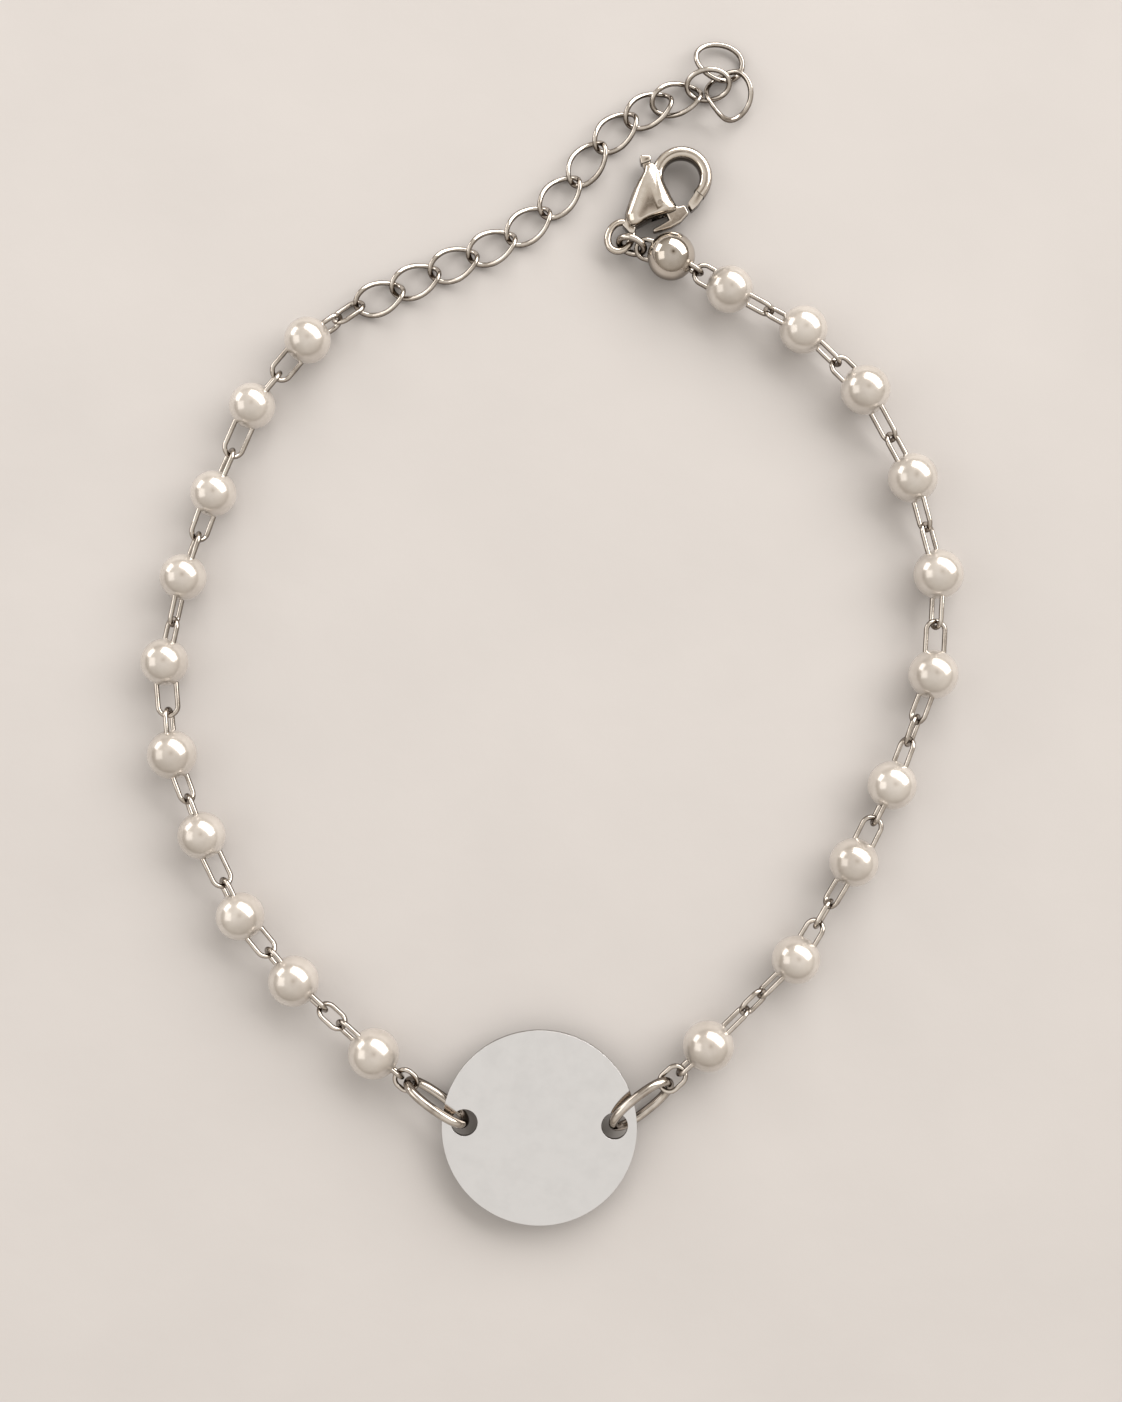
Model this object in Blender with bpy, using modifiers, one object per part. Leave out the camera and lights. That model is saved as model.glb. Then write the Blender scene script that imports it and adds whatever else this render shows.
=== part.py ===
"""Pearl bracelet lying open on a flat surface: pearls on a fine cable chain, a curb extender, a lobster
clasp and a round tag. Lengths are in metres, +Z is up and the floor is at z = 0."""

import math

import bmesh
import bpy
from mathutils import Matrix, Vector
from mathutils.geometry import convex_hull_2d

MM = 0.001
WELD = 0.0001 * MM
SHARP_ANGLE = math.radians(40.0)
CORNER_ANGLE = math.radians(60.0)

# finishes
PEARL_COLOR = (0.90, 0.88, 0.84)
PEARL_ROUGHNESS = 0.18
STEEL_COLOR = (0.62, 0.60, 0.57)
STEEL_ROUGHNESS = 0.14

# pearls and the fine cable chain
PEARL_DIAMETER = 4.0 * MM
PEARL_SEGMENTS = 12
PEARL_RINGS = 8
FINE_WIRE = 0.41 * MM
FINE_LENGTH = 2.87 * MM
FINE_WIDTH = 1.98 * MM
FINE_STEPS = 12
ROOT_DEPTH = 1.15 * MM
LINK_GAP = 0.12 * MM

# curb extender
CURB_LENGTH = 4.5 * MM
CURB_WIRE = 0.44 * MM
CURB_WIDTH = 2.95 * MM
CURB_TWIST = math.radians(42.0)
CURB_HEIGHT = 0.74 * MM
CURB_STEPS = 16

# tag and its rings
TAG_DIAMETER = 15.8 * MM
TAG_THICKNESS = 0.5 * MM
TAG_HEIGHT = 1.95 * MM
TAG_PLACE = (-1.02 * MM, -40.28 * MM)
TAG_HOLE = 2.15 * MM
TAG_HOLE_INSET = 1.82 * MM
TAG_HOLE_RISE = 0.3 * MM
TAG_TURN = math.radians(-1.3)
TAG_SIDES = 64
HOLE_SIDES = 24
RING_LENGTH = 6.35 * MM
RING_WIDTH = 3.9 * MM
RING_WIRE = 0.76 * MM
RIGHT_RING_HEADING = math.radians(38.5)
LEFT_RING_HEADING = math.radians(144.6)
RIGHT_RING_TILT = math.radians(54.0)
LEFT_RING_TILT = math.radians(79.0)

# clasp
CLASP_SPAN = 10.0 * MM
CLASP_THICKNESS = 2.2 * MM
CLASP_HEIGHT = 1.15 * MM
CLASP_EDGE = 0.55 * MM
NECK_THINNING = 0.3
HOOK_WIRE = 1.02 * MM
TONGUE_THICKNESS = 1.2 * MM
LUG_THICKNESS = 1.1 * MM
EYE_WIRE = 0.6 * MM
EYE_LENGTH = 3.0 * MM
EYE_WIDTH = 2.5 * MM
LEVER_THICKNESS = 0.8 * MM
TAB_THICKNESS = 1.1 * MM
LEVER_GAP = 0.12 * MM
LEVER_ARM = 0.62 * MM
PIN_RADIUS = 0.3 * MM
HUB_RADIUS = 0.72 * MM
LEVER_SWING = math.radians(25.0)
OVER_SWING = 1.1
CLASP_RING_WIDTH = 2.4 * MM
CLASP_RING_WIRE = 0.56 * MM

# route of the pearls round the loop: name, x and y in millimetres, diameter as a share of PEARL_DIAMETER
RIGHT_ROUTE = [
    ("steel_bead", 9.66, 30.31, 0.97),
    ("pearl_right_01", 14.39, 27.64, 0.96),
    ("pearl_right_02", 20.37, 24.36, 0.98),
    ("pearl_right_03", 25.39, 19.46, 1.01),
    ("pearl_right_04", 29.23, 12.35, 1.01),
    ("pearl_right_05", 31.30, 4.54, 1.02),
    ("pearl_right_06", 30.89, -3.58, 1.01),
    ("pearl_right_07", 27.55, -12.55, 1.00),
    ("pearl_right_08", 24.46, -18.79, 1.00),
    ("pearl_right_09", 19.77, -26.68, 0.99),
    ("pearl_right_10", 12.66, -33.67, 1.05),
]
LEFT_ROUTE = [
    ("pearl_left_01", -14.44, -34.28, 1.05),
    ("pearl_left_02", -20.92, -28.41, 1.04),
    ("pearl_left_03", -25.26, -23.17, 0.99),
    ("pearl_left_04", -28.39, -16.63, 0.98),
    ("pearl_left_05", -30.78, -10.08, 1.01),
    ("pearl_left_06", -31.40, -2.57, 0.97),
    ("pearl_left_07", -29.90, 4.32, 0.95),
    ("pearl_left_08", -27.44, 11.10, 0.94),
    ("pearl_left_09", -24.30, 18.20, 0.94),
    ("pearl_left_10", -19.81, 23.52, 0.95),
]

# chain between neighbouring pearls, one row a gap: the first stub's share of both stubs' reach, the roll in
# degrees of the first stub, of the free link (None where the stubs hold each other) and of the second stub,
# all turned about the line from the first pearl to the second
RIGHT_GAPS = [
    (0.43, 88, None, -4),
    (0.56, 72, None, -50),
    (0.57, 80, None, -14),
    (0.56, 63, None, -45),
    (0.52, 70, None, -50),
    (0.50, 72, None, -8),
    (0.51, 58, -64, 60),
    (0.44, 88, None, 2),
    (0.56, 62, -72, 40),
    (0.49, 78, -50, 75),
]
LEFT_GAPS = [
    (0.54, -58, 48, -70),
    (0.40, -62, None, 36),
    (0.36, -60, None, 32),
    (0.43, -66, None, 58),
    (0.42, 82, None, 10),
    (0.45, -50, None, 80),
    (0.47, -68, None, 48),
    (0.44, -64, None, 32),
    (0.44, -72, None, 25),
]
RIGHT_TAG_LINK_ROLL = 12
LEFT_TAG_LINK_ROLL = 10
TAG_STUB_ROLL = 84
LEFT_TAG_STUB_REACH = 1.10 * MM
RIGHT_TAG_STUB_REACH = 1.42 * MM
EXTENDER_LINK_ROLL = -44
EXTENDER_STUB_ROLL = 70
EXTENDER_STUB_REACH = 1.62 * MM

# route of the extender's curb links: step in x and y from the link before as shares of CURB_LENGTH, and
# heading of the link's length in degrees
EXTENDER_START = (-14.08 * MM, 27.17 * MM)
EXTENDER_ROUTE = [
    (0.000, 0.000, 20),
    (0.651, 0.311, 22),
    (0.693, 0.302, 22),
    (0.692, 0.314, 24),
    (0.662, 0.397, 36),
    (0.571, 0.523, 45),
    (0.491, 0.602, 53),
    (0.518, 0.573, 41),
    (0.600, 0.402, 28),
    (0.509, 0.198, 13),
]
# last three links: name, centre from the last curb link and above the floor, outer length and width, all as
# shares of CURB_LENGTH, then heading, slope, roll and twist in degrees
LAST_LINKS = [
    ("extender_link_11", 0.569, 0.223, 0.246, 0.861, 0.654, 4, 10, 37, 1),
    ("end_link_a", 0.777, 0.669, 0.154, 0.977, 0.754, -11, -12.5, -8, -13),
    ("end_link_b", 0.938, 0.046, 0.223, 1.000, 0.907, 80, -8, 3, 37.5),
]

# clasp outline from the lever's pin, as shares of CLASP_SPAN: the body's corners from the neck down its outer
# side, and the hook's bend
PIN_PLACE = (8.75 * MM, 34.61 * MM)
BODY_CORNERS = [
    (-0.055, 0.338),
    (-0.125, 0.318),
    (-0.140, 0.262),
    (-0.200, 0.150),
    (-0.250, 0.020),
    (-0.282, -0.110),
    (-0.215, -0.192),
    (-0.080, -0.128),
    (0.105, -0.062),
    (0.142, -0.025),
    (0.100, 0.060),
    (0.030, 0.200),
    (0.012, 0.262),
]
HOOK_CENTRE = (0.178, 0.227)
HOOK_RADIUS = 0.199
HOOK_START = 205
HOOK_END = -38
HOOK_STEPS = 14
HOOK_TIP = (0.321, 0.087)
HOOK_DEPTH = 1.5
TONGUE_CORNERS = [
    (0.300, 0.125),
    (0.276, 0.079),
    (0.227, 0.013),
    (0.262, -0.053),
    (0.310, -0.010),
    (0.350, 0.047),
    (0.370, 0.100),
]
LUG_CORNERS = [
    (-0.245, -0.080),
    (-0.190, -0.160),
    (-0.206, -0.232),
    (-0.238, -0.240),
    (-0.305, -0.165),
]
EYE_CENTRE = (-0.322, -0.252)
EYE_HEADING = 66
TAB_PLACE = (-0.122, 0.373)
GATE_CORNERS = [
    (0.205, 0.002),
    (0.150, -0.014),
    (0.050, 0.056),
    (-0.030, 0.040),
    (-0.030, -0.040),
    (0.050, -0.066),
    (0.078, -0.122),
    (0.005, -0.164),
    (-0.056, -0.196),
    (-0.050, -0.227),
    (0.010, -0.214),
    (0.095, -0.186),
    (0.175, -0.138),
    (0.241, -0.066),
]
TAB_CORNERS = [
    (-0.164, 0.384),
    (-0.150, 0.402),
    (-0.082, 0.400),
    (-0.068, 0.384),
    (-0.074, 0.352),
    (-0.151, 0.326),
]
BAR_SIDES = 12
CLASP_FACETS = 3
CLASP_RING_TAIL = (5.47 * MM, 31.66 * MM, 1.20 * MM)
CLASP_RING_ROLL = math.radians(64.0)
CLASP_STUB_ROLL = -26


def new_collection(name):
    """Make a collection in the scene."""
    collection = bpy.data.collections.new(name)
    bpy.context.scene.collection.children.link(collection)
    return collection


def make_material(name, color, roughness, metallic):
    """Make a Principled material."""
    material = bpy.data.materials.new(name)
    material.use_nodes = True
    shader = material.node_tree.nodes["Principled BSDF"]
    shader.inputs["Base Color"].default_value = (*color, 1.0)
    shader.inputs["Roughness"].default_value = roughness
    shader.inputs["Metallic"].default_value = metallic
    return material


def add_object(name, mesh, collection, material):
    """Put a mesh in the scene as an object with one material."""
    obj = bpy.data.objects.new(name, mesh)
    collection.objects.link(obj)
    mesh.materials.clear()
    mesh.materials.append(material)
    return obj


def finish_mesh(mesh):
    """Weld, turn the faces outward and shade smooth with sharp edges kept."""
    work = bmesh.new()
    work.from_mesh(mesh)
    bmesh.ops.remove_doubles(work, verts=work.verts, dist=WELD)
    bmesh.ops.recalc_face_normals(work, faces=work.faces)
    work.to_mesh(mesh)
    work.free()
    mesh.shade_smooth()
    mesh.set_sharp_from_angle(angle=SHARP_ANGLE)


def curve_mesh(name, curve, matrix):
    """Turn curve data into a welded mesh with the matrix written into it."""
    holder = bpy.data.objects.new(name + "_curve", curve)
    bpy.context.scene.collection.objects.link(holder)
    bpy.context.view_layer.update()
    evaluated = holder.evaluated_get(bpy.context.evaluated_depsgraph_get())
    mesh = bpy.data.meshes.new_from_object(evaluated)
    mesh.name = name
    bpy.data.objects.remove(holder)
    mesh.transform(matrix)
    finish_mesh(mesh)
    return mesh


def wire_mesh(name, points, wire, matrix=Matrix(), resolution=1, closed=True):
    """Make a round wire through the points, closed to a loop or with flat ends."""
    curve = bpy.data.curves.new(name, "CURVE")
    curve.dimensions = "3D"
    curve.bevel_depth = wire / 2
    curve.bevel_resolution = resolution
    spline = curve.splines.new("POLY")
    spline.points.add(len(points) - 1)
    for point, place in zip(spline.points, points):
        point.co = (*place, 1.0)
    spline.use_cyclic_u = closed
    curve.use_fill_caps = not closed
    return curve_mesh(name, curve, matrix)


def outline_mesh(name, outlines, thickness, matrix=Matrix()):
    """Fill closed flat outlines (holes inside) and give them a thickness about z = 0."""
    curve = bpy.data.curves.new(name, "CURVE")
    curve.dimensions = "2D"
    curve.fill_mode = "BOTH"
    curve.extrude = thickness / 2
    for outline in outlines:
        spline = curve.splines.new("POLY")
        spline.points.add(len(outline) - 1)
        for point, (x, y) in zip(spline.points, outline):
            point.co = (x, y, 0.0, 1.0)
        spline.use_cyclic_u = True
    return curve_mesh(name, curve, matrix)


def circle(radius, sides, centre=(0.0, 0.0)):
    """Points of a circle."""
    turns = [2 * math.pi * i / sides for i in range(sides)]
    return [(centre[0] + radius * math.cos(t), centre[1] + radius * math.sin(t)) for t in turns]


def scaled(place):
    """Turn shares of CLASP_SPAN into lengths."""
    return place[0] * CLASP_SPAN, place[1] * CLASP_SPAN


def bar(tip, half):
    """Outline of a flat bar with round ends from the origin to the tip."""
    turn = math.atan2(tip[1], tip[0])
    points = []
    for i in range(BAR_SIDES):
        centre, back = (tip, 0.0) if i < BAR_SIDES / 2 else ((0.0, 0.0), math.pi)
        step = math.pi * (i % (BAR_SIDES // 2)) / (BAR_SIDES / 2 - 1)
        swing = turn - math.pi / 2 + back + step
        points.append((centre[0] + half * math.cos(swing), centre[1] + half * math.sin(swing)))
    return points


def swept_outline(corners, gap):
    """Convex outline, a gap wider, round an outline in all its places from rest to the full swing."""
    points = []
    for swing in (0.0, LEVER_SWING / 2, LEVER_SWING * OVER_SWING):
        turn = Matrix.Rotation(swing, 2)
        for corner in corners:
            points += [turn @ Vector(corner) + Vector(side) for side in circle(gap, BAR_SIDES)]
    return [tuple(points[i]) for i in convex_hull_2d(points)]


def long_loop(length, width, wire, steps):
    """Centre line of a plain link with round ends and straight sides, outer length along X."""
    radius = (width - wire) / 2
    side = max((length - wire) / 2 - radius, 0.0)
    points = []
    for i in range(steps):
        turn = 2 * math.pi * (i + 0.5) / steps
        shift = side if math.cos(turn) > 0 else -side
        points.append(Vector((shift + radius * math.cos(turn), radius * math.sin(turn), 0.0)))
    return points


def twisted_loop(length, width, wire, steps, twist):
    """Centre line of an oval link whose two ends are turned by -twist and +twist about its length."""
    half_length = (length - wire) / 2
    half_width = (width - wire) / 2
    points = []
    for i in range(steps):
        turn = 2 * math.pi * (i + 0.5) / steps
        roll = -twist * math.cos(turn)
        across = half_width * math.sin(turn)
        flat, rise = across * math.cos(roll), across * math.sin(roll)
        points.append(Vector((half_length * math.cos(turn), flat, rise)))
    return points


def aim(centre, direction, roll):
    """Matrix that puts X along the direction and turns the link's face by roll about it."""
    along = direction.normalized()
    side = Vector((0.0, 0.0, 1.0)).cross(along).normalized()
    up = along.cross(side)
    axes = Matrix((along, side, up)).transposed().to_4x4()
    return Matrix.Translation(centre) @ axes @ Matrix.Rotation(roll, 4, "X")


def add_union(obj, operand, cutters):
    """Fuse a helper object to the object."""
    helper(operand, cutters)
    modifier = obj.modifiers.new("fuse_" + operand.name[-20:], "BOOLEAN")
    modifier.operation = "UNION"
    modifier.solver = "EXACT"
    modifier.object = operand


def add_cut(obj, cutter, cutters):
    """Cut a helper object out of the object."""
    helper(cutter, cutters)
    modifier = obj.modifiers.new("cut_" + cutter.name[-20:], "BOOLEAN")
    modifier.operation = "DIFFERENCE"
    modifier.solver = "EXACT"
    modifier.object = cutter


def helper(obj, cutters):
    """Hide a helper object from the render."""
    for owner in list(obj.users_collection):
        owner.objects.unlink(obj)
    cutters.objects.link(obj)
    obj.hide_render = True
    obj.display_type = "WIRE"


class Builder:
    """Holds the two collections and the materials, and makes the bracelet's pieces."""

    def __init__(self):
        self.parts = new_collection("pearl_bracelet")
        self.cutters = new_collection("cutters")
        self.pearl = make_material("pearl_gloss", PEARL_COLOR, PEARL_ROUGHNESS, 0.0)
        self.steel = make_material("polished_steel", STEEL_COLOR, STEEL_ROUGHNESS, 1.0)
        self.stubs = {}

    def bead(self, row):
        """Centre and radius of a bead that rests on the floor."""
        radius = PEARL_DIAMETER * row[3] / 2
        return Vector((row[1] * MM, row[2] * MM, radius)), radius

    def add_stub(self, row, toward, reach, roll):
        """Note a link that is half sunk in the bead and stands out of it by reach."""
        self.stubs.setdefault(row[0], []).append((toward, reach, math.radians(roll)))

    def tip(self, row, toward, reach):
        """Centre of the wire at a stub's tip."""
        centre, radius = self.bead(row)
        return centre + (toward - centre).normalized() * (radius + reach - FINE_WIRE / 2)

    def free_link(self, name, start, end, start_wire, end_wire, roll):
        """Make a free link that holds the wires whose centres are start and end."""
        along = (end - start).normalized()
        first = start - along * (start_wire / 2 + FINE_WIRE / 2 + LINK_GAP)
        last = end + along * (end_wire / 2 + FINE_WIRE / 2 + LINK_GAP)
        length = (last - first).length + FINE_WIRE
        points = long_loop(length, FINE_WIDTH, FINE_WIRE, FINE_STEPS)
        mesh = wire_mesh(name, points, FINE_WIRE, aim((first + last) / 2, along, math.radians(roll)))
        add_object(name, mesh, self.parts, self.steel)

    def chain_gap(self, first, second, gap, name):
        """Set the stubs of two neighbouring beads and the free link between them."""
        share, first_roll, free_roll, second_roll = gap
        start, start_radius = self.bead(first)
        end, end_radius = self.bead(second)
        space = (end - start).length - start_radius - end_radius
        if free_roll is None:
            reach = space + 2 * FINE_WIRE + LINK_GAP
        else:
            reach = space - FINE_LENGTH + 4 * FINE_WIRE + 2 * LINK_GAP
        self.add_stub(first, end, reach * share, first_roll)
        self.add_stub(second, start, reach * (1 - share), -second_roll)
        if free_roll is not None:
            tips = self.tip(first, end, reach * share), self.tip(second, start, reach * (1 - share))
            self.free_link(name, tips[0], tips[1], FINE_WIRE, FINE_WIRE, free_roll)

    def link_to(self, name, row, target, target_wire, roll, stub_roll, reach):
        """Make a bead's stub and the free link from it to a wire whose centre is target."""
        self.add_stub(row, target, reach, stub_roll)
        self.free_link(name, self.tip(row, target, reach), target, FINE_WIRE, target_wire, roll)

    def make_bead(self, row, material):
        """Make a bead fused with its two stubs."""
        name = row[0]
        centre, radius = self.bead(row)
        mesh = bpy.data.meshes.new(name)
        work = bmesh.new()
        bmesh.ops.create_uvsphere(work, u_segments=PEARL_SEGMENTS, v_segments=PEARL_RINGS, radius=radius)
        work.to_mesh(mesh)
        work.free()
        obj = add_object(name, mesh, self.parts, material)
        obj.location = centre
        finish_mesh(mesh)
        for index, (toward, reach, roll) in enumerate(self.stubs[name]):
            along = (toward - centre).normalized()
            length = reach + ROOT_DEPTH
            points = long_loop(length, FINE_WIDTH, FINE_WIRE, FINE_STEPS)
            place = centre + along * (radius + reach - length / 2)
            loop = wire_mesh(f"{name}_stub_{index}", points, FINE_WIRE, aim(place, along, roll))
            add_union(obj, add_object(f"{name}_stub_{index}", loop, self.parts, material), self.cutters)

    def make_tag(self):
        """Make the round tag with its two holes. Returns the two hole centres."""
        centre = Vector((*TAG_PLACE, TAG_HEIGHT))
        holes = [Vector((side * (TAG_DIAMETER / 2 - TAG_HOLE_INSET), TAG_HOLE_RISE)) for side in (-1, 1)]
        outlines = [circle(TAG_DIAMETER / 2, TAG_SIDES)]
        outlines += [circle(TAG_HOLE / 2, HOLE_SIDES, hole) for hole in holes]
        matrix = Matrix.Translation(centre) @ Matrix.Rotation(TAG_TURN, 4, "Z")
        mesh = outline_mesh("disc_tag", outlines, TAG_THICKNESS, matrix)
        add_object("disc_tag", mesh, self.parts, self.steel)
        return [matrix @ hole.to_3d() for hole in holes]

    def make_jump_ring(self, name, hole, heading, tilt):
        """Make an oval ring through a tag hole. Returns the centre of the wire at its far end."""
        along = Vector((math.cos(heading), math.sin(heading), 0.0))
        far = hole + along * (RING_LENGTH - RING_WIRE)
        points = twisted_loop(RING_LENGTH, RING_WIDTH, RING_WIRE, CURB_STEPS, 0.0)
        mesh = wire_mesh(name, points, RING_WIRE, aim((hole + far) / 2, along, tilt))
        add_object(name, mesh, self.parts, self.steel)
        return far

    def make_extender(self):
        """Make the curb links and the last plain links. Returns the centre of the wire at the first tip."""
        tips = []
        place = Vector((*EXTENDER_START, CURB_HEIGHT))
        for index, (x, y, heading) in enumerate(EXTENDER_ROUTE):
            place = place + Vector((x, y, 0.0)) * CURB_LENGTH
            along = Vector((math.cos(math.radians(heading)), math.sin(math.radians(heading)), 0.0))
            points = twisted_loop(CURB_LENGTH, CURB_WIDTH, CURB_WIRE, CURB_STEPS, CURB_TWIST)
            name = f"extender_link_{index + 1:02d}"
            mesh = wire_mesh(name, points, CURB_WIRE, aim(place, along, 0.0))
            add_object(name, mesh, self.parts, self.steel)
            tips.append(place - along * (CURB_LENGTH - CURB_WIRE) / 2)
        self.make_last_links(place)
        return tips[0]

    def make_last_links(self, place):
        """Make the tilted last link and the two end links that hang on it."""
        for name, x, y, z, long_share, wide_share, *turns in LAST_LINKS:
            heading, slope, roll, twist = (math.radians(turn) for turn in turns)
            flat = math.cos(slope)
            along = Vector((math.cos(heading) * flat, math.sin(heading) * flat, math.sin(slope)))
            centre = Vector((place.x, place.y, 0.0)) + Vector((x, y, z)) * CURB_LENGTH
            length = CURB_LENGTH * long_share
            points = twisted_loop(length, CURB_LENGTH * wide_share, CURB_WIRE, CURB_STEPS, twist)
            mesh = wire_mesh(name, points, CURB_WIRE, aim(centre, along, roll))
            add_object(name, mesh, self.parts, self.steel)

    def make_clasp(self):
        """Make the clasp's body with its hook and tail eye, its lever and its ring."""
        frame = Matrix.Translation(Vector((*PIN_PLACE, CLASP_HEIGHT)))
        corners = [scaled(corner) for corner in BODY_CORNERS]
        mesh = outline_mesh("clasp_body", [corners], CLASP_THICKNESS)
        neck = max(y for x, y in corners)
        for vertex in mesh.vertices:
            vertex.co.z *= 1 - NECK_THINNING * max(vertex.co.y, 0.0) / neck
        body = add_object("clasp_body", mesh, self.parts, self.steel)
        body.matrix_world = frame
        bevel = body.modifiers.new("facets", "BEVEL")
        bevel.width = CLASP_EDGE
        bevel.segments = CLASP_FACETS
        bevel.limit_method = "ANGLE"
        bevel.angle_limit = CORNER_ANGLE
        add_union(body, self.shape("clasp_hook", self.hook_mesh(frame)), self.cutters)
        for name, table, thickness in (("clasp_tongue", TONGUE_CORNERS, TONGUE_THICKNESS),
                                       ("clasp_lug", LUG_CORNERS, LUG_THICKNESS)):
            mesh = outline_mesh(name, [[scaled(corner) for corner in table]], thickness, frame)
            add_union(body, self.shape(name, mesh), self.cutters)
        add_union(body, self.shape("clasp_eye", self.eye_mesh(frame)), self.cutters)
        slot = LEVER_THICKNESS + 2 * LEVER_GAP
        gate = [scaled(corner) for corner in GATE_CORNERS]
        for name, corners in (("tab_slot", bar(scaled(TAB_PLACE), LEVER_ARM / 2)), ("gate_slot", gate)):
            outline = swept_outline(corners, LEVER_GAP)
            add_cut(body, self.shape(name, outline_mesh(name, [outline], slot, frame)), self.cutters)
        hub_room = outline_mesh("hub_slot", [circle(HUB_RADIUS + LEVER_GAP, HOLE_SIDES)], slot, frame)
        add_cut(body, self.shape("hub_slot", hub_room), self.cutters)
        pin_length = CLASP_THICKNESS - CLASP_EDGE / 2
        pin = outline_mesh("clasp_pin", [circle(PIN_RADIUS, BAR_SIDES)], pin_length, frame)
        add_union(body, self.shape("clasp_pin", pin), self.cutters)
        self.make_lever(frame)
        self.make_clasp_ring()

    def shape(self, name, mesh):
        """Wrap a helper mesh in an object."""
        return add_object(name, mesh, self.cutters, self.steel)

    def hook_mesh(self, frame):
        """Make the hook's bent bar, deeper than it is wide."""
        points = []
        for i in range(HOOK_STEPS + 1):
            turn = math.radians(HOOK_START + (HOOK_END - HOOK_START) * i / HOOK_STEPS)
            x = HOOK_CENTRE[0] + HOOK_RADIUS * math.cos(turn)
            y = HOOK_CENTRE[1] + HOOK_RADIUS * math.sin(turn)
            points.append(Vector((*scaled((x, y)), 0.0)))
        points.append(Vector((*scaled(HOOK_TIP), 0.0)))
        matrix = frame @ Matrix.Diagonal((1.0, 1.0, HOOK_DEPTH, 1.0))
        return wire_mesh("clasp_hook", points, HOOK_WIRE, matrix, resolution=2, closed=False)

    def eye_mesh(self, frame):
        """Make the oval tail eye."""
        points = twisted_loop(EYE_LENGTH, EYE_WIDTH, EYE_WIRE, CURB_STEPS, 0.0)
        place = Matrix.Translation(Vector((*scaled(EYE_CENTRE), 0.0)))
        matrix = frame @ place @ Matrix.Rotation(math.radians(EYE_HEADING), 4, "Z")
        return wire_mesh("clasp_eye", points, EYE_WIRE, matrix)

    def make_lever(self, frame):
        """Make the lever: a hub, the arm to the thumb tab and the gate, with its origin on the pin."""
        half = LEVER_ARM / 2
        arm = outline_mesh("clasp_lever", [bar(scaled(TAB_PLACE), half)], LEVER_THICKNESS)
        lever = add_object("clasp_lever", arm, self.parts, self.steel)
        lever.matrix_world = frame
        corners = [scaled(corner) for corner in GATE_CORNERS]
        gate = outline_mesh("lever_gate", [corners], LEVER_THICKNESS, frame)
        hub = outline_mesh("lever_hub", [circle(HUB_RADIUS, HOLE_SIDES)], LEVER_THICKNESS, frame)
        tab = outline_mesh("lever_tab", [[scaled(corner) for corner in TAB_CORNERS]], TAB_THICKNESS, frame)
        bore = circle(PIN_RADIUS + LEVER_GAP, HOLE_SIDES)
        hole = outline_mesh("lever_hole", [bore], CLASP_THICKNESS, frame)
        for name, mesh in (("lever_gate", gate), ("lever_hub", hub), ("lever_tab", tab)):
            add_union(lever, self.shape(name, mesh), self.cutters)
        add_cut(lever, self.shape("lever_hole", hole), self.cutters)

    def make_clasp_ring(self):
        """Make the upright oval ring between the tail eye and the bead's stub."""
        tail = Vector(CLASP_RING_TAIL)
        centre, radius = self.bead(RIGHT_ROUTE[0])
        away = (tail - centre).normalized()
        head = centre + away * (radius + CLASP_RING_WIRE / 2 + LINK_GAP)
        length = (head - tail).length + CLASP_RING_WIRE
        points = twisted_loop(length, CLASP_RING_WIDTH, CLASP_RING_WIRE, CURB_STEPS, 0.0)
        place = aim((tail + head) / 2, head - tail, CLASP_RING_ROLL)
        mesh = wire_mesh("clasp_ring", points, CLASP_RING_WIRE, place)
        add_object("clasp_ring", mesh, self.parts, self.steel)
        self.add_stub(RIGHT_ROUTE[0], head, CLASP_RING_WIRE + FINE_WIRE + 2 * LINK_GAP, CLASP_STUB_ROLL)


def clear_scene():
    """Remove every object of the start file."""
    for obj in list(bpy.data.objects):
        bpy.data.objects.remove(obj)


def main():
    """Build the bracelet."""
    clear_scene()
    build = Builder()
    for number, gap in enumerate(RIGHT_GAPS):
        rows = RIGHT_ROUTE[number], RIGHT_ROUTE[number + 1]
        build.chain_gap(rows[0], rows[1], gap, f"link_right_{number:02d}_{number + 1:02d}")
    for number, gap in enumerate(LEFT_GAPS):
        rows = LEFT_ROUTE[number], LEFT_ROUTE[number + 1]
        build.chain_gap(rows[0], rows[1], gap, f"link_left_{number + 1:02d}_{number + 2:02d}")
    left_hole, right_hole = build.make_tag()
    right_far = build.make_jump_ring("jump_ring_right", right_hole, RIGHT_RING_HEADING, RIGHT_RING_TILT)
    left_far = build.make_jump_ring("jump_ring_left", left_hole, LEFT_RING_HEADING, LEFT_RING_TILT)
    build.link_to("link_right_tag", RIGHT_ROUTE[-1], right_far, RING_WIRE, RIGHT_TAG_LINK_ROLL,
                  TAG_STUB_ROLL, RIGHT_TAG_STUB_REACH)
    build.link_to("link_left_tag", LEFT_ROUTE[0], left_far, RING_WIRE, LEFT_TAG_LINK_ROLL,
                  TAG_STUB_ROLL, LEFT_TAG_STUB_REACH)
    extender_tip = build.make_extender()
    build.link_to("link_extender", LEFT_ROUTE[-1], extender_tip, CURB_WIRE, EXTENDER_LINK_ROLL,
                  EXTENDER_STUB_ROLL, EXTENDER_STUB_REACH)
    build.make_clasp()
    for row in RIGHT_ROUTE + LEFT_ROUTE:
        build.make_bead(row, build.steel if row[0] == "steel_bead" else build.pearl)


main()
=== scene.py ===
import enum
import logging
import math
from dataclasses import dataclass, field
from typing import Iterable, Optional, Sequence

import bpy
from mathutils import Matrix, Vector
from mathutils.geometry import convex_hull_2d


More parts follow.
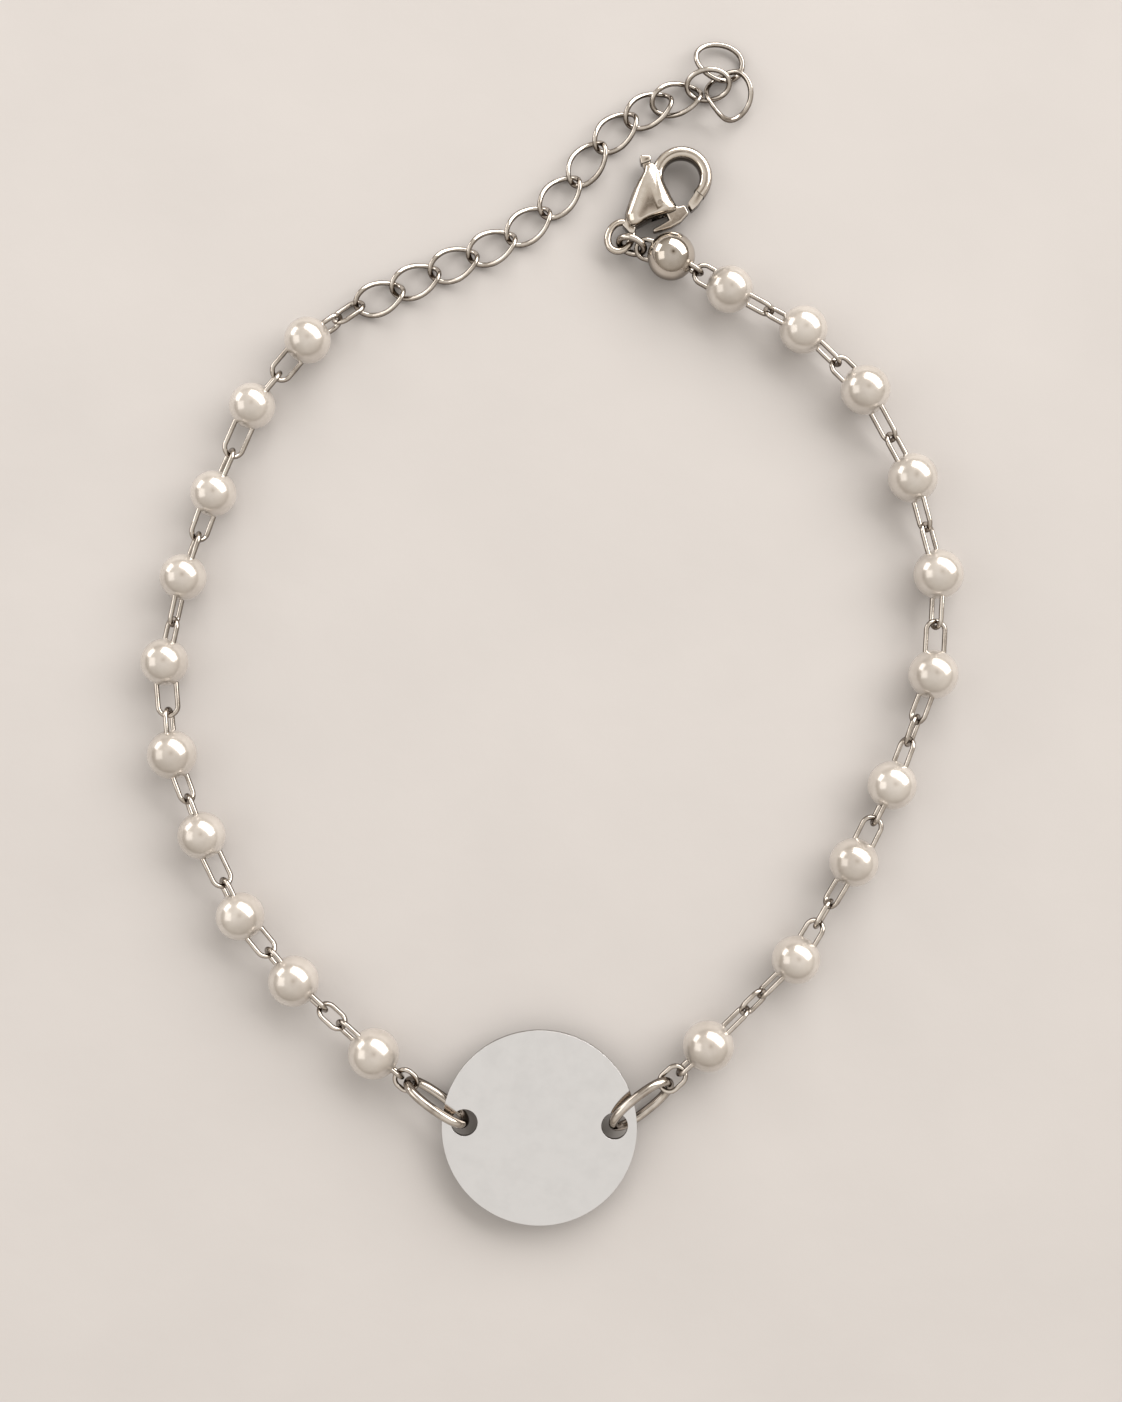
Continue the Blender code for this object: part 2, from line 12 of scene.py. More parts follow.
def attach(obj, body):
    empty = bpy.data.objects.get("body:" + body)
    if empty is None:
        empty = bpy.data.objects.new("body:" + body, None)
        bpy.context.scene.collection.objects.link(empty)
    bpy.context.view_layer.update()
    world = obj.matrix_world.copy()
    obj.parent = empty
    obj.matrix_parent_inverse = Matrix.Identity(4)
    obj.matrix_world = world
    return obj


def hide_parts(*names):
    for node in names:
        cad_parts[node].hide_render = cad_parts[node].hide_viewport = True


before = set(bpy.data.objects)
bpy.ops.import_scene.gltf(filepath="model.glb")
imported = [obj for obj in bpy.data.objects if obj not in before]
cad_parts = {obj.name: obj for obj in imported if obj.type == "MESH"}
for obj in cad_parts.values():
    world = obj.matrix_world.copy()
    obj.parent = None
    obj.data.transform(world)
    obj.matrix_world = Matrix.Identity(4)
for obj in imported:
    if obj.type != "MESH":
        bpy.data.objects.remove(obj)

logging.basicConfig(level=logging.INFO, format="%(message)s")
LOG = logging.getLogger("pearl_bracelet")

MM = 0.001
BODY = "bracelet"
LEVER_BODY = "lever"
WHITE = (1.0, 1.0, 1.0)

# Edges under this many degrees are shaded smooth: on wires and beads, on the tag, and on the cast clasp.
ROUND_ANGLE = 80.0
TAG_ANGLE = 50.0
CAST_ANGLE = 34.0

# Steps round an oval loop.
OVAL_STEPS = 64

# Where pieces or cuts of one depth meet, the next ones are a little thinner, so that no faces share a plane.
SECOND_DEPTH = 0.999
THIRD_DEPTH = 0.998

# Colour sockets of a mix node: its two inputs and its result.
MIX_FIRST = 6
MIX_SECOND = 7
MIX_RESULT = 2


class Slot(enum.Enum):
    """Material slots of the record."""

    PEARL = "pearl_gloss"
    STEEL = "polished_steel"


class Form(enum.Enum):
    """Shapes that a closed loop of wire can take."""

    STADIUM = "straight sides and round ends"
    OVAL = "oval"


def color_ramp(tree: bpy.types.NodeTree, source: bpy.types.NodeSocket,
               stops: Sequence[tuple]) -> bpy.types.NodeSocket:
    """Map a value through a colour ramp.

    Args:
        tree: Node tree that the ramp goes into.
        source: Value to map.
        stops: Pairs of position and colour (three numbers) or grey (one number).

    Returns:
        The ramp's colour socket.
    """
    node = tree.nodes.new("ShaderNodeValToRGB")
    elements = node.color_ramp.elements
    while len(elements) < len(stops):
        elements.new(0.5)
    for element, (place, color) in zip(elements, stops):
        element.position = place
        rgb = (color, color, color) if isinstance(color, float) else color
        element.color = (*rgb, 1.0)
    tree.links.new(source, node.inputs["Fac"])
    return node.outputs["Color"]


def multiply(tree: bpy.types.NodeTree, first: bpy.types.NodeSocket,
             second: bpy.types.NodeSocket) -> bpy.types.NodeSocket:
    """Multiply two colours.

    Args:
        tree: Node tree that the mix goes into.
        first: One colour.
        second: The other colour.

    Returns:
        The product's socket.
    """
    mix = tree.nodes.new("ShaderNodeMix")
    mix.data_type = "RGBA"
    mix.blend_type = "MULTIPLY"
    mix.inputs["Factor"].default_value = 1.0
    tree.links.new(first, mix.inputs[MIX_FIRST])
    tree.links.new(second, mix.inputs[MIX_SECOND])
    return mix.outputs[MIX_RESULT]


class Nodes:
    """Small helper that adds and links shader nodes."""

    def __init__(self, name: str) -> None:
        """Make an empty node material of that name."""
        self.material = bpy.data.materials.new(name)
        self.material.use_nodes = True
        self.tree = self.material.node_tree
        self.tree.nodes.clear()
        self.output = self.tree.nodes.new("ShaderNodeOutputMaterial")
        self.shader = self.tree.nodes.new("ShaderNodeBsdfPrincipled")
        self.link(self.shader.outputs["BSDF"], self.output.inputs["Surface"])
        self.coords = self.tree.nodes.new("ShaderNodeTexCoord")

    def link(self, source: bpy.types.NodeSocket, target: bpy.types.NodeSocket) -> None:
        """Link two sockets."""
        self.tree.links.new(source, target)

    def noise(self, scale: float, detail: float, roughness: float = 0.5,
              stretch: Sequence[float] = (1.0, 1.0, 1.0)) -> bpy.types.NodeSocket:
        """Add a noise texture on the object's own coordinates.

        Args:
            scale: Scale of the noise, per metre.
            detail: Octaves of the noise.
            roughness: Strength of the finer octaves.
            stretch: Scale of the coordinates along each axis.

        Returns:
            The noise's value socket.
        """
        mapping = self.tree.nodes.new("ShaderNodeMapping")
        mapping.inputs["Scale"].default_value = tuple(stretch)
        self.link(self.coords.outputs["Object"], mapping.inputs["Vector"])
        node = self.tree.nodes.new("ShaderNodeTexNoise")
        node.inputs["Scale"].default_value = scale
        node.inputs["Detail"].default_value = detail
        node.inputs["Roughness"].default_value = roughness
        self.link(mapping.outputs["Vector"], node.inputs["Vector"])
        return node.outputs["Fac"]

    def ramp(self, source: bpy.types.NodeSocket, stops: Sequence[tuple]) -> bpy.types.NodeSocket:
        """Map a value through a colour ramp."""
        return color_ramp(self.tree, source, stops)

    def painted_side_shade(self, color: bpy.types.NodeSocket, stops: Sequence[tuple]) -> bpy.types.NodeSocket:
        """Paint shade on a colour's sides, darker the further the surface turns away from up.

        Args:
            color: Colour of the top, left unshaded.
            stops: Pairs of the surface's upward share and the painted shade.

        Returns:
            The colour with painted shade on its sides.
        """
        # Painted shade: the base colour darkens as the normal's upward share falls.
        split = self.tree.nodes.new("ShaderNodeSeparateXYZ")
        self.link(self.coords.outputs["Normal"], split.inputs["Vector"])
        return multiply(self.tree, color, self.ramp(split.outputs["Z"], stops))

    def bump(self, source: bpy.types.NodeSocket, strength: float, distance: float,
             under: Optional[bpy.types.NodeSocket] = None) -> bpy.types.NodeSocket:
        """Add a bump node.

        Args:
            source: Height.
            strength: Strength of the bump.
            distance: Height of the bump in metres.
            under: Normal that the bump is laid on.

        Returns:
            The bump's normal socket.
        """
        node = self.tree.nodes.new("ShaderNodeBump")
        node.inputs["Strength"].default_value = strength
        node.inputs["Distance"].default_value = distance
        self.link(source, node.inputs["Height"])
        if under is not None:
            self.link(under, node.inputs["Normal"])
        return node.outputs["Normal"]

    def set(self, **values: object) -> None:
        """Set constants on the shader, underscores standing for spaces."""
        for name, value in values.items():
            self.shader.inputs[name.replace("_", " ")].default_value = value


@dataclass(frozen=True)
class PearlFinish:
    """Glossy coat of a moulded pearl; its noises' scales are per metre, their heights in metres."""

    name: str
    deep: tuple = (0.56, 0.515, 0.465)
    pale: tuple = (0.71, 0.665, 0.615)
    roughness: float = 0.24
    spread: float = 0.03
    cloud: float = 420.0
    wear: float = 1900.0
    wear_height: float = 0.000001
    swell: float = 260.0
    swell_height: float = 0.000004

    def build(self) -> bpy.types.Material:
        """Make a cloudy white with a clear coat over it."""
        nodes = Nodes(self.name)
        coat = nodes.ramp(nodes.noise(self.cloud, 3.0), [(0.30, self.deep), (0.62, self.pale)])
        nodes.link(coat, nodes.shader.inputs["Base Color"])
        wear = nodes.noise(self.wear, 4.0)
        low, high = self.roughness - self.spread, self.roughness + self.spread
        nodes.link(nodes.ramp(wear, [(0.35, low), (0.70, high)]), nodes.shader.inputs["Roughness"])
        soft = nodes.bump(nodes.noise(self.swell, 2.0), 0.08, self.swell_height)
        nodes.link(nodes.bump(wear, 0.02, self.wear_height, soft), nodes.shader.inputs["Normal"])
        nodes.set(Metallic=0.45, Coat_Weight=1.0, Coat_Roughness=0.09, Coat_IOR=1.9, IOR=1.6)
        return nodes.material


@dataclass(frozen=True)
class SteelFinish:
    """Polished metal with fine wear and painted shade on its sides; scales per metre, heights in metres."""

    name: str
    dark: tuple = (0.48, 0.43, 0.38)
    light: tuple = (0.82, 0.77, 0.71)
    roughness: float = 0.10
    stain: float = 600.0
    grain: float = 1600.0
    grain_height: float = 0.000008
    wave: float = 900.0
    wave_height: float = 0.000006
    # Painted shade: pairs of the surface's upward share and the darkening of its sides.
    sides: tuple = ((0.32, (0.14, 0.11, 0.085)), (0.95, WHITE))

    def build(self) -> bpy.types.Material:
        """Make a warm grey metal with uneven polish."""
        nodes = Nodes(self.name)
        stain = nodes.ramp(nodes.noise(self.stain, 4.0, 0.6), [(0.28, self.dark), (0.58, self.light)])
        # The base colour carries painted shade on the sides.
        nodes.link(nodes.painted_side_shade(stain, self.sides), nodes.shader.inputs["Base Color"])
        wear = nodes.noise(self.grain, 5.0, 0.65)
        low, high = max(self.roughness - 0.05, 0.02), self.roughness + 0.12
        nodes.link(nodes.ramp(wear, [(0.38, low), (0.72, high)]), nodes.shader.inputs["Roughness"])
        soft = nodes.bump(nodes.noise(self.wave, 2.0), 0.25, self.wave_height)
        nodes.link(nodes.bump(wear, 0.12, self.grain_height, soft), nodes.shader.inputs["Normal"])
        nodes.set(Metallic=1.0)
        return nodes.material


@dataclass(frozen=True)
class FloorFinish:
    """Plain pale surface under the bracelet; scales per metre, heights in metres."""

    name: str
    color: tuple = (0.62, 0.60, 0.59)
    shade: float = 0.96
    cloud: float = 60.0
    grain: float = 420.0
    grain_height: float = 0.0001

    def build(self) -> bpy.types.Material:
        """Make a matt off-white with the faintest unevenness."""
        nodes = Nodes(self.name)
        darker = tuple(self.shade * value for value in self.color)
        cloud = nodes.ramp(nodes.noise(self.cloud, 3.0), [(0.3, darker), (0.7, self.color)])
        nodes.link(cloud, nodes.shader.inputs["Base Color"])
        grain = nodes.bump(nodes.noise(self.grain, 3.0), 0.25, self.grain_height)
        nodes.link(grain, nodes.shader.inputs["Normal"])
        nodes.set(Roughness=0.75, Specular_IOR_Level=0.25)
        return nodes.material


@dataclass(frozen=True)
class Finishes:
    """All finishes of the bracelet, built once."""

    pearl: bpy.types.Material
    wire: bpy.types.Material
    mirror: bpy.types.Material
    tag: bpy.types.Material
    clasp: bpy.types.Material

    @classmethod
    def build(cls) -> "Finishes":
        """Make every material."""
        # Every steel finish below paints shade on its sides, rims and bevels through its sides stops.
        return cls(
            pearl=PearlFinish("pearl_coat").build(),
            wire=SteelFinish("polished_wire").build(),
            mirror=SteelFinish("mirror_bead", dark=(0.50, 0.455, 0.405), light=(0.60, 0.555, 0.50),
                               roughness=0.09, sides=((0.04, (0.30, 0.26, 0.22)), (0.40, WHITE))).build(),
            tag=SteelFinish("tag_face", dark=(0.84, 0.845, 0.85), light=(0.88, 0.885, 0.89), roughness=0.08,
                            grain=500.0, wave_height=0.000001,
                            sides=((0.18, (0.14, 0.11, 0.085)), (0.80, WHITE))).build(),
            clasp=SteelFinish("cast_clasp", dark=(0.70, 0.63, 0.545), light=(0.85, 0.79, 0.715),
                              roughness=0.12, wave_height=0.000003,
                              sides=((0.18, (0.10, 0.08, 0.06)), (0.84, WHITE))).build(),
        )


def deselect() -> None:
    """Leave edit mode and clear the selection."""
    if bpy.context.object is not None and bpy.context.object.mode != "OBJECT":
        bpy.ops.object.mode_set(mode="OBJECT")
    bpy.ops.object.select_all(action="DESELECT")


def activate(obj: bpy.types.Object) -> None:
    """Make one object the selected and active one."""
    deselect()
    obj.select_set(True)
    bpy.context.view_layer.objects.active = obj


def apply_modifiers(obj: bpy.types.Object) -> None:
    """Apply all modifiers in order."""
    activate(obj)
    for modifier in list(obj.modifiers):
        bpy.ops.object.modifier_apply(modifier=modifier.name)


def dress(obj: bpy.types.Object, material: bpy.types.Material) -> bpy.types.Object:
    """Give an object one material and return it."""
    obj.data.materials.clear()
    obj.data.materials.append(material)
    return obj


def settle(obj: bpy.types.Object, matrix: Matrix) -> bpy.types.Object:
    """Write a place into the object's mesh, so that the object stands at the origin, and return it."""
    obj.matrix_world = matrix @ obj.matrix_world
    activate(obj)
    bpy.ops.object.transform_apply(location=True, rotation=True, scale=True)
    return obj


def even(obj: bpy.types.Object) -> None:
    """Keep the broad flat faces flat-looking where they meet small rounded edges."""
    modifier = obj.modifiers.new("even", "WEIGHTED_NORMAL")
    modifier.keep_sharp = True
    apply_modifiers(obj)


def smooth(obj: bpy.types.Object, angle: float) -> None:
    """Shade smooth, keeping edges sharper than the angle in degrees."""
    activate(obj)
    bpy.ops.object.shade_smooth_by_angle(angle=math.radians(angle))


def join(name: str, objects: Iterable[bpy.types.Object]) -> bpy.types.Object:
    """Join objects to one mesh of that name, the first object giving its place."""
    members = list(objects)
    activate(members[0])
    for member in members:
        member.select_set(True)
    if len(members) > 1:
        bpy.ops.object.join()
    result = bpy.context.view_layer.objects.active
    result.name = name
    result.data.name = name
    return result


def boolean(obj: bpy.types.Object, other: bpy.types.Object, operation: str) -> None:
    """Fuse or cut with another object, which is then removed."""
    modifier = obj.modifiers.new("boolean", "BOOLEAN")
    modifier.operation = operation
    modifier.solver = "EXACT"
    modifier.object = other
    apply_modifiers(obj)
    bpy.data.objects.remove(other)


def cylinder(radius: float, depth: float, sides: int,
             place: Sequence[float] = (0.0, 0.0, 0.0)) -> bpy.types.Object:
    """Add an upright cylinder about a place."""
    deselect()
    bpy.ops.mesh.primitive_cylinder_add(vertices=sides, radius=radius, depth=depth, location=place)
    return bpy.context.object


def face_outwards() -> None:
    """Turn the faces of the mesh in edit mode outwards and leave edit mode."""
    bpy.ops.mesh.select_all(action="SELECT")
    bpy.ops.mesh.normals_make_consistent(inside=False)
    bpy.ops.object.mode_set(mode="OBJECT")


def poly_curve(points: Sequence, closed: bool) -> bpy.types.Object:
    """Add a curve of straight pieces through the points.

    Args:
        points: Points of the curve.
        closed: Whether its ends are joined.

    Returns:
        The curve.
    """
    deselect()
    bpy.ops.curve.primitive_bezier_circle_add(radius=1.0)
    obj = bpy.context.object
    obj.data.splines.clear()
    spline = obj.data.splines.new("POLY")
    spline.points.add(len(points) - 1)
    for target, point in zip(spline.points, points):
        target.co = (*point, 1.0)
    spline.use_cyclic_u = closed
    obj.data.dimensions = "3D"
    obj.data.twist_mode = "Z_UP"
    return obj


def aim(centre: Vector, direction: Vector, roll: float) -> Matrix:
    """Place that puts X along a direction and turns the face about it.

    Args:
        centre: Centre of the piece.
        direction: Direction of its length.
        roll: Turn of its face about that direction, in radians.

    Returns:
        The matrix of the place.
    """
    along = direction.normalized()
    side = Vector((0.0, 0.0, 1.0)).cross(along).normalized()
    axes = Matrix((along, side, along.cross(side))).transposed().to_4x4()
    return Matrix.Translation(centre) @ axes @ Matrix.Rotation(roll, 4, "X")


@dataclass(frozen=True)
class WireLoop:
    """A closed loop of round wire, modelled once at its size."""

    length: float
    width: float
    wire: float
    form: Form = Form.STADIUM
    twist: float = 0.0
    steps: int = 34
    sides: int = 12

    def make(self, name: str, matrix: Matrix, material: bpy.types.Material) -> bpy.types.Object:
        """Model the loop and put it in its place, X along its length."""
        obj = self.stadium() if self.form is Form.STADIUM else self.oval()
        obj.name = name
        smooth(obj, ROUND_ANGLE)
        dress(obj, material)
        return settle(obj, matrix)

    def stadium(self) -> bpy.types.Object:
        """Model a torus and pull its halves apart to straight sides."""
        deselect()
        radius = (self.width - self.wire) / 2
        bpy.ops.mesh.primitive_torus_add(major_radius=radius, minor_radius=self.wire / 2,
                                         major_segments=self.steps, minor_segments=self.sides)
        obj = bpy.context.object
        reach = max((self.length - self.width) / 2, 0.0)
        for side in (-1, 1):
            bpy.ops.object.mode_set(mode="EDIT")
            bpy.ops.mesh.select_all(action="DESELECT")
            bpy.ops.object.mode_set(mode="OBJECT")
            for vertex in obj.data.vertices:
                vertex.select = vertex.co.x * side > 0
            bpy.ops.object.mode_set(mode="EDIT")
            bpy.ops.transform.translate(value=(reach * side, 0.0, 0.0))
            bpy.ops.object.mode_set(mode="OBJECT")
        return obj

    def oval(self) -> bpy.types.Object:
        """Model a bezier oval with a round section, turned to a mesh and twisted along its length."""
        deselect()
        bpy.ops.curve.primitive_bezier_circle_add(radius=1.0)
        obj = bpy.context.object
        size = ((self.length - self.wire) / 2, (self.width - self.wire) / 2, 1.0)
        bpy.ops.object.mode_set(mode="EDIT")
        bpy.ops.curve.select_all(action="SELECT")
        bpy.ops.transform.resize(value=size, center_override=(0.0, 0.0, 0.0))
        bpy.ops.object.mode_set(mode="OBJECT")
        obj.data.dimensions = "3D"
        obj.data.resolution_u = self.steps // 4 + 2
        obj.data.bevel_depth = self.wire / 2
        obj.data.bevel_resolution = self.sides // 2 - 2
        bpy.ops.object.convert(target="MESH")
        obj = bpy.context.object
        if self.twist:
            self.turn_ends(obj)
        return obj

    def turn_ends(self, obj: bpy.types.Object) -> None:
        """Turn the two ends of a loop about its length, one each way."""
        half = (self.length - self.wire) / 2
        for vertex in obj.data.vertices:
            roll = Matrix.Rotation(-self.twist * vertex.co.x / half, 3, "X")
            vertex.co = roll @ vertex.co


@dataclass(frozen=True)
class Bead:
    """One bead of the route, resting on the floor."""

    name: str
    x: float
    y: float
    share: float

    def radius(self, diameter: float) -> float:
        """Radius of the bead for the usual pearl diameter."""
        return diameter * self.share / 2

    def centre(self, diameter: float) -> Vector:
        """Centre of the bead in the row frame."""
        return Vector((self.x * MM, self.y * MM, self.radius(diameter)))


@dataclass(frozen=True)
class Gap:
    """Chain between two beads: the first stub's share of the reach and the rolls in degrees."""

    share: float
    first: float
    free: Optional[float]
    second: float


@dataclass
class FineChain:
    """Pearls and the fine cable chain that they are moulded on."""

    finishes: Finishes
    diameter: float = 4.0 * MM
    wire: float = 0.41 * MM
    length: float = 2.87 * MM
    width: float = 1.98 * MM
    root: float = 1.15 * MM
    gap: float = 0.12 * MM
    segments: int = 48
    rings: int = 32
    stubs: dict = field(default_factory=dict)

    def add_stub(self, bead: Bead, toward: Vector, reach: float, roll: float) -> None:
        """Note a link half sunk in a bead.

        Args:
            bead: The bead.
            toward: Point that the stub runs to.
            reach: Length of the stub outside the bead.
            roll: Turn of its face in degrees.
        """
        self.stubs.setdefault(bead.name, []).append((toward, reach, math.radians(roll)))

    def tip(self, bead: Bead, toward: Vector, reach: float) -> Vector:
        """Centre of the wire at a stub's tip."""
        centre = bead.centre(self.diameter)
        along = (toward - centre).normalized()
        return centre + along * (bead.radius(self.diameter) + reach - self.wire / 2)

    def free_link(self, name: str, ends: tuple, wires: tuple, roll: float) -> bpy.types.Object:
        """Make a free link that holds two wires.

        Args:
            name: Name of the CAD node that it stands for.
            ends: Centres of the two wires.
            wires: Their thicknesses.
            roll: Turn of the link's face in degrees.

        Returns:
            The link.
        """
        along = (ends[1] - ends[0]).normalized()
        first = ends[0] - along * (wires[0] / 2 + self.wire / 2 + self.gap)
        last = ends[1] + along * (wires[1] / 2 + self.wire / 2 + self.gap)
        loop = WireLoop((last - first).length + self.wire, self.width, self.wire)
        place = aim((first + last) / 2, along, math.radians(roll))
        link = loop.make(f"{name}_piece", place, self.finishes.wire)
        return hand_in(link, BODY, name)

    def between(self, first: Bead, second: Bead, gap: Gap, name: str) -> None:
        """Set the chain between two neighbouring beads."""
        start, end = first.centre(self.diameter), second.centre(self.diameter)
        space = (end - start).length - first.radius(self.diameter) - second.radius(self.diameter)
        reach = space + 2 * self.wire + self.gap
        if gap.free is not None:
            reach = space - self.length + 4 * self.wire + 2 * self.gap
        self.add_stub(first, end, reach * gap.share, gap.first)
        self.add_stub(second, start, reach * (1 - gap.share), -gap.second)
        if gap.free is not None:
            ends = self.tip(first, end, reach * gap.share), self.tip(second, start, reach * (1 - gap.share))
            self.free_link(name, ends, (self.wire, self.wire), gap.free)

    def link_to(self, name: str, bead: Bead, target: Vector, thickness: float, rolls: tuple,
                reach: float) -> None:
        """Make a bead's stub and the free link from it to another wire."""
        self.add_stub(bead, target, reach, rolls[1])
        self.free_link(name, (self.tip(bead, target, reach), target), (self.wire, thickness), rolls[0])

    def make_bead(self, bead: Bead) -> None:
        """Model a bead with its two stubs as one piece."""
        centre, radius = bead.centre(self.diameter), bead.radius(self.diameter)
        deselect()
        bpy.ops.mesh.primitive_uv_sphere_add(segments=self.segments, ring_count=self.rings, radius=radius)
        ball = bpy.context.object
        smooth(ball, ROUND_ANGLE)
        steel = bead.name == "steel_bead"
        dress(ball, self.finishes.mirror if steel else self.finishes.pearl)
        settle(ball, Matrix.Translation(centre))
        members = [ball]
        for index, (toward, reach, roll) in enumerate(self.stubs[bead.name]):
            along = (toward - centre).normalized()
            length = reach + self.root
            place = aim(centre + along * (radius + reach - length / 2), along, roll)
            loop = WireLoop(length, self.width, self.wire)
            members.append(loop.make(f"{bead.name}_stub_{index}", place, self.finishes.wire))
        piece = join(f"{bead.name}_piece", members)
        hand_in(piece, BODY, bead.name)


@dataclass
class Tag:
    """Round blank tag with two holes and its two oval rings."""

    finishes: Finishes
    diameter: float = 15.8 * MM
    thickness: float = 0.5 * MM
    centre: tuple = (-1.02 * MM, -40.28 * MM, 1.95 * MM)
    hole: float = 2.15 * MM
    hole_radius: float = 6.08 * MM
    hole_rise: float = 0.3 * MM
    turn: float = math.radians(-1.3)
    ring_length: float = 6.35 * MM
    ring_width: float = 3.9 * MM
    ring_wire: float = 0.76 * MM
    ring_sides: int = 16
    edge: float = 0.17 * MM
    edge_steps: int = 3
    sides: int = 160
    hole_sides: int = 64

    def frame(self) -> Matrix:
        """Place of the tag in the row frame."""
        return Matrix.Translation(Vector(self.centre)) @ Matrix.Rotation(self.turn, 4, "Z")

    def holes(self) -> list:
        """Centres of the left and the right hole."""
        return [self.frame() @ place for place in self.hole_places()]

    def hole_places(self) -> list:
        """Centres of the left and the right hole on the tag itself."""
        return [Vector((side * self.hole_radius, self.hole_rise, 0.0)) for side in (-1, 1)]

    def make(self) -> None:
        """Model the disc, cut its holes and round its edges."""
        disc = cylinder(self.diameter / 2, self.thickness, self.sides)
        for place in self.hole_places():
            boolean(disc, cylinder(self.hole / 2, self.thickness * 3, self.hole_sides, place), "DIFFERENCE")
        bevel = disc.modifiers.new("edge", "BEVEL")
        bevel.width = self.edge
        bevel.segments = self.edge_steps
        bevel.limit_method = "ANGLE"
        apply_modifiers(disc)
        smooth(disc, TAG_ANGLE)
        even(disc)
        disc.name = "disc_tag_piece"
        dress(disc, self.finishes.tag)
        hand_in(settle(disc, self.frame()), BODY, "disc_tag")

    def ring(self, name: str, hole: Vector, heading: float, tilt: float) -> Vector:
        """Model an oval ring through a hole.

        Args:
            name: Name of the CAD node that it stands for.
            hole: Centre of the hole.
            heading: Direction of the ring's length in degrees.
            tilt: Turn of the ring's face in degrees.

        Returns:
            Centre of the wire at the ring's far end.
        """
        turn = math.radians(heading)
        along = Vector((math.cos(turn), math.sin(turn), 0.0))
        far = hole + along * (self.ring_length - self.ring_wire)
        loop = WireLoop(self.ring_length, self.ring_width, self.ring_wire, Form.OVAL, steps=OVAL_STEPS,
                        sides=self.ring_sides)
        place = aim((hole + far) / 2, along, math.radians(tilt))
        ring = loop.make(f"{name}_piece", place, self.finishes.wire)
        hand_in(ring, BODY, name)
        return far


@dataclass(frozen=True)
class LastLink:
    """One of the last three links, its sizes as shares of the pitch and its turns in degrees."""

    name: str
    place: tuple
    length: float
    width: float
    turns: tuple


@dataclass
class Extender:
    """Twisted curb links and the plain links at their free end."""

    finishes: Finishes
    route: Sequence[tuple]
    last: Sequence[LastLink]
    length: float = 4.5 * MM
    width: float = 2.95 * MM
    wire: float = 0.44 * MM
    pitch: float = 3.46 * MM
    height: float = 0.74 * MM
    twist: float = math.radians(42.0)

    def make(self) -> Vector:
        """Model all links.

        Returns:
            Centre of the wire at the first link's tip.
        """
        tips = []
        place = Vector()
        for index, (x, y, heading) in enumerate(self.route):
            place = Vector((x * MM, y * MM, self.height))
            turn = math.radians(heading)
            along = Vector((math.cos(turn), math.sin(turn), 0.0))
            loop = WireLoop(self.length, self.width, self.wire, Form.OVAL, self.twist, OVAL_STEPS)
            name = f"extender_link_{index + 1:02d}"
            link = loop.make(f"{name}_piece", aim(place, along, 0.0), self.finishes.wire)
            hand_in(link, BODY, name)
            tips.append(place - along * (self.length - self.wire) / 2)
        for last in self.last:
            self.make_last(last, place)
        return tips[0]

    def make_last(self, link: LastLink, place: Vector) -> None:
        """Model one of the links at the free end."""
        heading, slope, roll, twist = (math.radians(turn) for turn in link.turns)
        flat = math.cos(slope)
        along = Vector((math.cos(heading) * flat, math.sin(heading) * flat, math.sin(slope)))
        centre = Vector((place.x, place.y, 0.0)) + Vector(link.place) * self.pitch
        length, width = self.pitch * link.length, self.pitch * link.width
        loop = WireLoop(length, width, self.wire, Form.OVAL, twist, OVAL_STEPS)
        piece = loop.make(f"{link.name}_piece", aim(centre, along, roll), self.finishes.wire)
        hand_in(piece, BODY, link.name)


